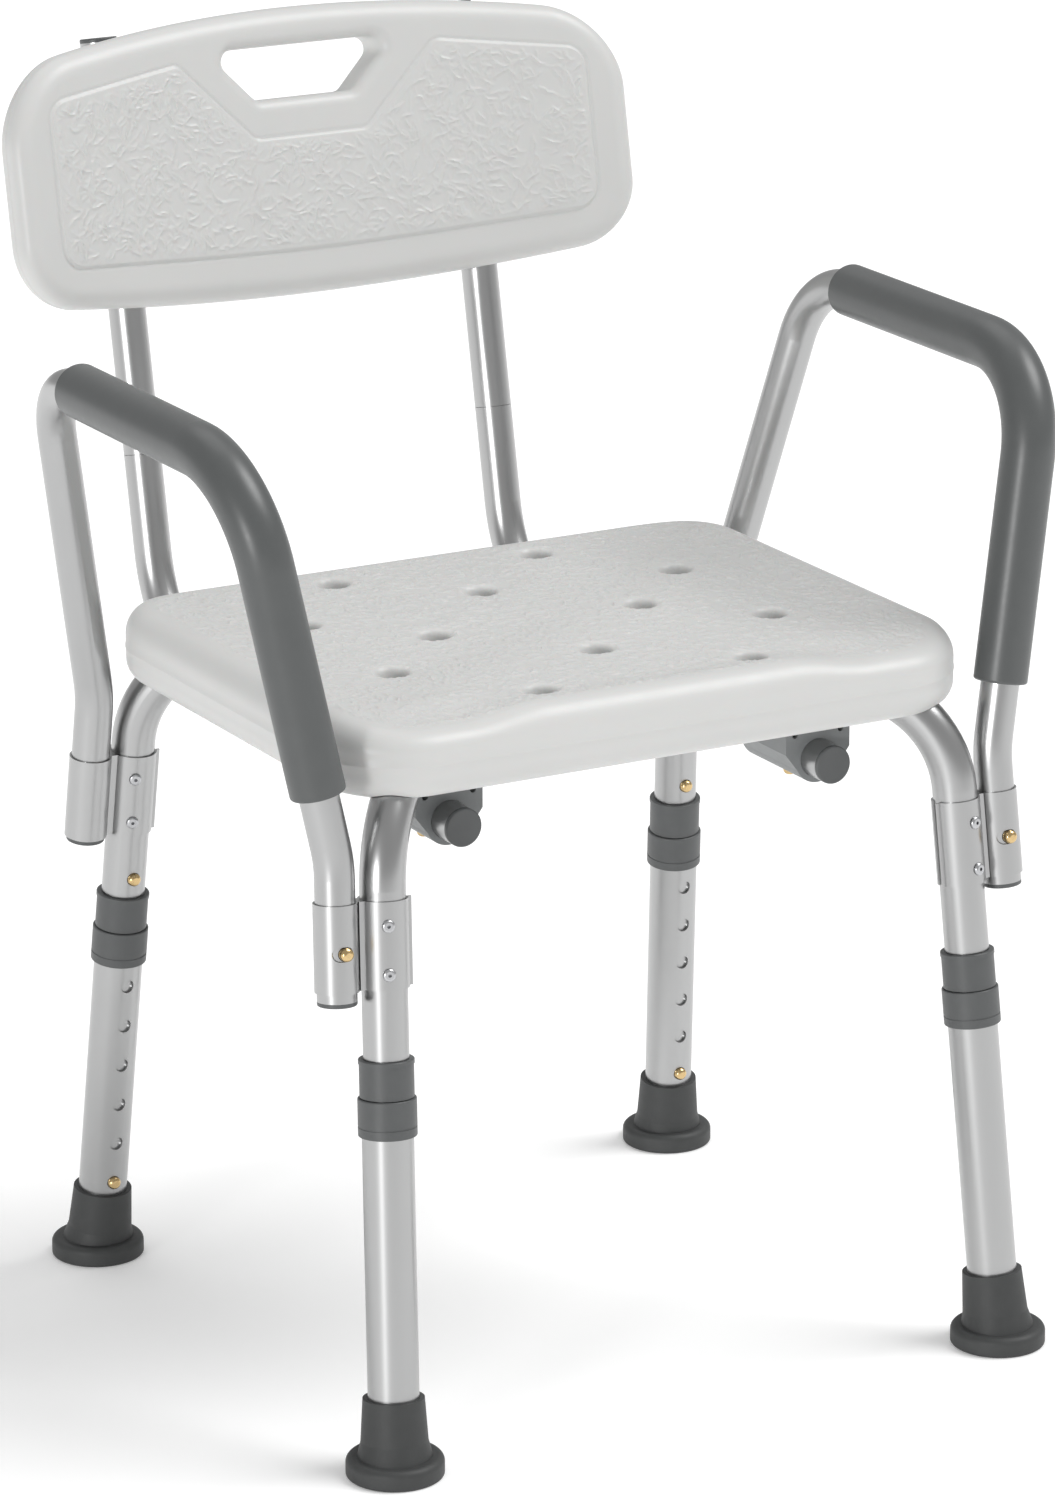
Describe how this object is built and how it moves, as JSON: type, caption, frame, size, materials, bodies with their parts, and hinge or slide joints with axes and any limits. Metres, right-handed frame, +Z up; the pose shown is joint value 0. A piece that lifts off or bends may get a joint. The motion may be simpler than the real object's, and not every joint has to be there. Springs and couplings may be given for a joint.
{
  "type": "shower chair",
  "caption": "Shower chair with armrests: moulded drained seat, hand-hole back on tubes, crossed aluminium frame and push-button telescoping legs with rubber tips.",
  "frame": {"origin": "on the floor, at the middle of the whole chair's box", "axes": "+Z up, the sitter faces -Y, +X to the right of someone who stands in front and looks at the chair"},
  "size_m": [0.532, 0.549, 0.716],
  "materials": {
    "white_plastic": "satin off-white blow-moulded polyethylene",
    "aluminium": "satin anodised",
    "grip": "smooth dark grey PVC foam",
    "dark_plastic": "moulded dark grey",
    "grey_plastic": "moulded mid grey",
    "rubber": "matt dark grey rubber",
    "brass": "polished",
    "steel": "zinc plated"
  },
  "bodies": {
    "frame": {"seat_panel": "white_plastic", "seat_screws": "steel", "cross_tube_upper": "aluminium", "cross_tube_lower": "aluminium", "cross_rivet": "steel", "arm_bracket_front_left": "aluminium", "arm_bracket_front_right": "aluminium", "arm_bracket_rear_left": "aluminium", "arm_bracket_rear_right": "aluminium", "bracket_rivets": "steel", "back_holder_front_left": "grey_plastic", "back_holder_front_right": "grey_plastic", "back_holder_rear_left": "grey_plastic", "back_holder_rear_right": "grey_plastic"},
    "leg_front_left": {"leg_tube_front_left": "aluminium", "upper_collar_front_left": "dark_plastic"},
    "leg_foot_front_left": {"leg_extension_front_left": "aluminium", "lower_collar_front_left": "dark_plastic", "foot_tip_front_left": "rubber"},
    "leg_release_front_left": {"release_button_front_left": "brass"},
    "leg_height_front_left": {"height_button_front_left": "brass"},
    "leg_front_right": {"leg_tube_front_right": "aluminium", "upper_collar_front_right": "dark_plastic"},
    "leg_foot_front_right": {"leg_extension_front_right": "aluminium", "lower_collar_front_right": "dark_plastic", "foot_tip_front_right": "rubber"},
    "leg_release_front_right": {"release_button_front_right": "brass"},
    "leg_height_front_right": {"height_button_front_right": "brass"},
    "leg_rear_left": {"leg_tube_rear_left": "aluminium", "upper_collar_rear_left": "dark_plastic"},
    "leg_foot_rear_left": {"leg_extension_rear_left": "aluminium", "lower_collar_rear_left": "dark_plastic", "foot_tip_rear_left": "rubber"},
    "leg_release_rear_left": {"release_button_rear_left": "brass"},
    "leg_height_rear_left": {"height_button_rear_left": "brass"},
    "leg_rear_right": {"leg_tube_rear_right": "aluminium", "upper_collar_rear_right": "dark_plastic"},
    "leg_foot_rear_right": {"leg_extension_rear_right": "aluminium", "lower_collar_rear_right": "dark_plastic", "foot_tip_rear_right": "rubber"},
    "leg_release_rear_right": {"release_button_rear_right": "brass"},
    "leg_height_rear_right": {"height_button_rear_right": "brass"},
    "arm_left": {"arm_tube_left": "aluminium", "arm_grip_left": "grip", "arm_plugs_left": "dark_plastic"},
    "arm_snap_left": {"arm_button_left": "brass"},
    "arm_right": {"arm_tube_right": "aluminium", "arm_grip_right": "grip", "arm_plugs_right": "dark_plastic"},
    "arm_snap_right": {"arm_button_right": "brass"},
    "back_lower": {"lower_back_tube_left": "aluminium", "lower_back_tube_right": "aluminium", "back_front_plugs": "dark_plastic"},
    "back_upper": {"upper_post_left": "aluminium", "upper_post_right": "aluminium", "post_caps": "dark_plastic", "back_panel": "white_plastic", "back_screws": "steel"},
    "back_snap_left": {"back_button_left": "brass"},
    "back_snap_right": {"back_button_right": "brass"}
  },
  "joints": [
    {"name": "leg_pull_off_front_left", "type": "slide", "parent": "frame", "child": "leg_front_left", "axis": [-0.0414, -0.1066, -0.9934], "range_m": [0, 0.06], "deforming": ["release_button_front_left"]},
    {"name": "leg_height_front_left", "type": "slide", "parent": "leg_front_left", "child": "leg_foot_front_left", "axis": [-0.0414, -0.1066, -0.9934], "range_m": [0, 0.127], "deforming": ["height_button_front_left"]},
    {"name": "release_press_front_left", "type": "slide", "parent": "leg_front_left", "child": "leg_release_front_left", "axis": [0, -0.9943, 0.1067], "range_m": [0, 0.005], "stiffness_N_per_m": 600, "springref_m": -0.003},
    {"name": "height_press_front_left", "type": "slide", "parent": "leg_front_left", "child": "leg_height_front_left", "axis": [0, -0.9943, 0.1067], "range_m": [0, 0.005], "stiffness_N_per_m": 600, "springref_m": -0.003},
    {"name": "leg_pull_off_front_right", "type": "slide", "parent": "frame", "child": "leg_front_right", "axis": [0.0414, -0.1066, -0.9934], "range_m": [0, 0.06], "deforming": ["release_button_front_right"]},
    {"name": "leg_height_front_right", "type": "slide", "parent": "leg_front_right", "child": "leg_foot_front_right", "axis": [0.0414, -0.1066, -0.9934], "range_m": [0, 0.127], "deforming": ["height_button_front_right"]},
    {"name": "release_press_front_right", "type": "slide", "parent": "leg_front_right", "child": "leg_release_front_right", "axis": [0, -0.9943, 0.1067], "range_m": [0, 0.005], "stiffness_N_per_m": 600, "springref_m": -0.003},
    {"name": "height_press_front_right", "type": "slide", "parent": "leg_front_right", "child": "leg_height_front_right", "axis": [0, -0.9943, 0.1067], "range_m": [0, 0.005], "stiffness_N_per_m": 600, "springref_m": -0.003},
    {"name": "leg_pull_off_rear_left", "type": "slide", "parent": "frame", "child": "leg_rear_left", "axis": [-0.0414, 0.1066, -0.9934], "range_m": [0, 0.06], "deforming": ["release_button_rear_left"]},
    {"name": "leg_height_rear_left", "type": "slide", "parent": "leg_rear_left", "child": "leg_foot_rear_left", "axis": [-0.0414, 0.1066, -0.9934], "range_m": [0, 0.127], "deforming": ["height_button_rear_left"]},
    {"name": "release_press_rear_left", "type": "slide", "parent": "leg_rear_left", "child": "leg_release_rear_left", "axis": [0, 0.9943, 0.1067], "range_m": [0, 0.005], "stiffness_N_per_m": 600, "springref_m": -0.003},
    {"name": "height_press_rear_left", "type": "slide", "parent": "leg_rear_left", "child": "leg_height_rear_left", "axis": [0, 0.9943, 0.1067], "range_m": [0, 0.005], "stiffness_N_per_m": 600, "springref_m": -0.003},
    {"name": "leg_pull_off_rear_right", "type": "slide", "parent": "frame", "child": "leg_rear_right", "axis": [0.0414, 0.1066, -0.9934], "range_m": [0, 0.06], "deforming": ["release_button_rear_right"]},
    {"name": "leg_height_rear_right", "type": "slide", "parent": "leg_rear_right", "child": "leg_foot_rear_right", "axis": [0.0414, 0.1066, -0.9934], "range_m": [0, 0.127], "deforming": ["height_button_rear_right"]},
    {"name": "release_press_rear_right", "type": "slide", "parent": "leg_rear_right", "child": "leg_release_rear_right", "axis": [0, 0.9943, 0.1067], "range_m": [0, 0.005], "stiffness_N_per_m": 600, "springref_m": -0.003},
    {"name": "height_press_rear_right", "type": "slide", "parent": "leg_rear_right", "child": "leg_height_rear_right", "axis": [0, 0.9943, 0.1067], "range_m": [0, 0.005], "stiffness_N_per_m": 600, "springref_m": -0.003},
    {"name": "arm_lift_left", "type": "slide", "parent": "frame", "child": "arm_left", "axis": [0.0417, 0, 0.9991], "range_m": [0, 0.08], "deforming": ["arm_tube_left", "arm_plugs_left", "arm_button_left"]},
    {"name": "arm_press_left", "type": "slide", "parent": "arm_left", "child": "arm_snap_left", "axis": [0, 0.9943, -0.1067], "range_m": [0, 0.005], "stiffness_N_per_m": 600, "springref_m": -0.003},
    {"name": "arm_lift_right", "type": "slide", "parent": "frame", "child": "arm_right", "axis": [-0.0417, 0, 0.9991], "range_m": [0, 0.08], "deforming": ["arm_tube_right", "arm_plugs_right", "arm_button_right"]},
    {"name": "arm_press_right", "type": "slide", "parent": "arm_right", "child": "arm_snap_right", "axis": [0, 0.9943, -0.1067], "range_m": [0, 0.005], "stiffness_N_per_m": 600, "springref_m": -0.003},
    {"name": "back_slide_out", "type": "slide", "parent": "frame", "child": "back_lower", "axis": [0, 1, 0], "range_m": [0, 0.25], "deforming": ["back_button_left", "back_button_right"]},
    {"name": "back_lift_off", "type": "slide", "parent": "back_lower", "child": "back_upper", "axis": [0, 0.2008, 0.9796], "range_m": [0, 0.065]},
    {"name": "back_press_left", "type": "slide", "parent": "back_lower", "child": "back_snap_left", "axis": [0, 0, 1], "range_m": [0, 0.0064], "stiffness_N_per_m": 600, "springref_m": -0.003},
    {"name": "back_press_right", "type": "slide", "parent": "back_lower", "child": "back_snap_right", "axis": [0, 0, 1], "range_m": [0, 0.0064], "stiffness_N_per_m": 600, "springref_m": -0.003}
  ]
}
